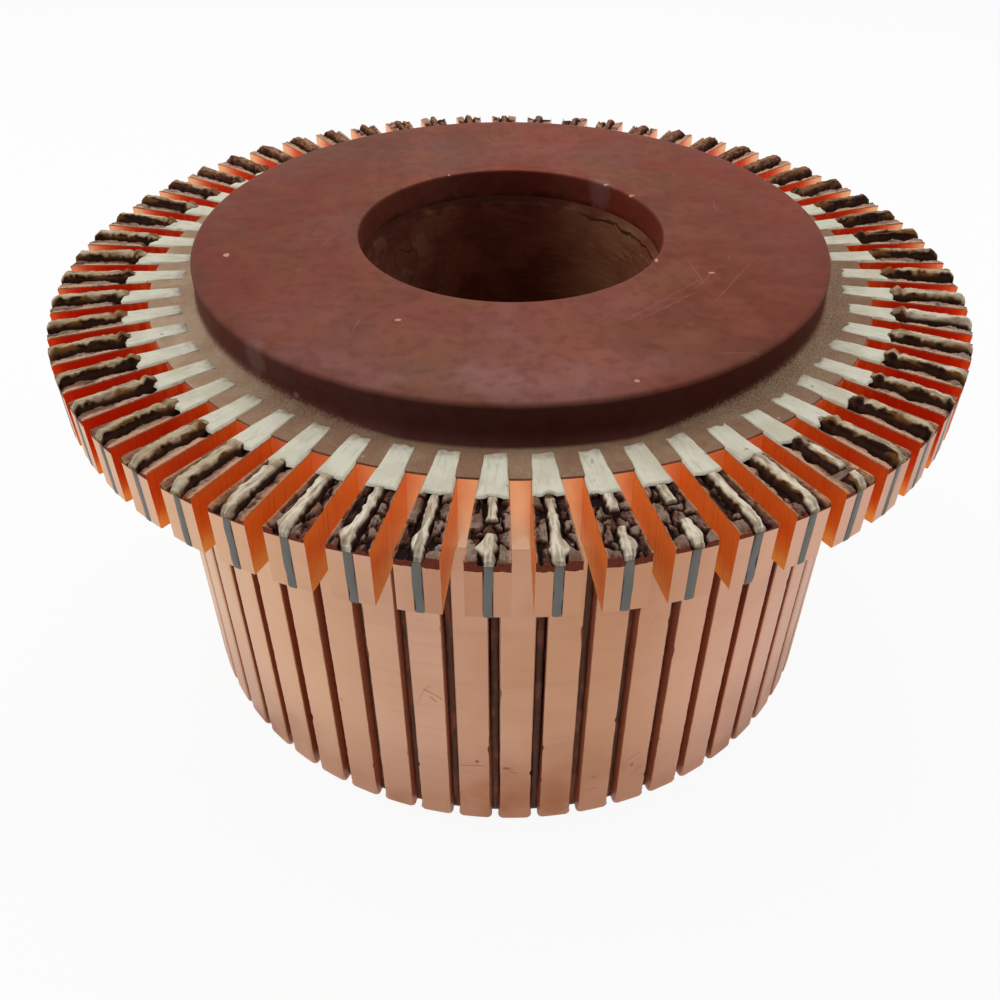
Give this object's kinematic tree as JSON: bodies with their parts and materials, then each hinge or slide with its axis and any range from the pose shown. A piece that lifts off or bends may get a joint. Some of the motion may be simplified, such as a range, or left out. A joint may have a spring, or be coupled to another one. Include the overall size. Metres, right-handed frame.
{
  "type": "commutator",
  "caption": "Moulded commutator of a DC machine: a ring of copper segments with slotted risers, mica plates between them, a resin hub with a raised boss and a steel bush in its bore.",
  "frame": {"origin": "on the axis, in the plane of the copper segments' free ends, on which the part stands", "axes": "+Z along the shaft axis towards the risers and the boss; -Y through the middle of segment_01"},
  "size_m": [0.122, 0.122, 0.065],
  "materials": {
    "copper": "turned copper, satin, with fine scratches and stains",
    "mica": "matt, cream to grey, frayed at the edges",
    "resin": "satin red-brown phenolic, mottled, torn over the risers",
    "bush_steel": "machined, stained brown"
  },
  "bodies": {
    "root": {"segment_01": "copper", "segment_02": "copper", "segment_03": "copper", "segment_04": "copper", "segment_05": "copper", "segment_06": "copper", "segment_07": "copper", "segment_08": "copper", "segment_09": "copper", "segment_10": "copper", "segment_11": "copper", "segment_12": "copper", "segment_13": "copper", "segment_14": "copper", "segment_15": "copper", "segment_16": "copper", "segment_17": "copper", "segment_18": "copper", "segment_19": "copper", "segment_20": "copper", "segment_21": "copper", "segment_22": "copper", "segment_23": "copper", "segment_24": "copper", "segment_25": "copper", "segment_26": "copper", "segment_27": "copper", "segment_28": "copper", "segment_29": "copper", "segment_30": "copper", "segment_31": "copper", "segment_32": "copper", "segment_33": "copper", "segment_34": "copper", "segment_35": "copper", "segment_36": "copper", "segment_37": "copper", "segment_38": "copper", "segment_39": "copper", "segment_40": "copper", "segment_41": "copper", "segment_42": "copper", "segment_43": "copper", "segment_44": "copper", "segment_45": "copper", "segment_46": "copper", "segment_47": "copper", "segment_48": "copper", "segment_49": "copper", "segment_50": "copper", "segment_51": "copper", "segment_52": "copper", "segment_53": "copper", "segment_54": "copper", "segment_55": "copper", "segment_56": "copper", "segment_57": "copper", "mica_plates": "mica", "moulded_hub": "resin", "bore_bush": "bush_steel"}
  },
  "joints": []
}
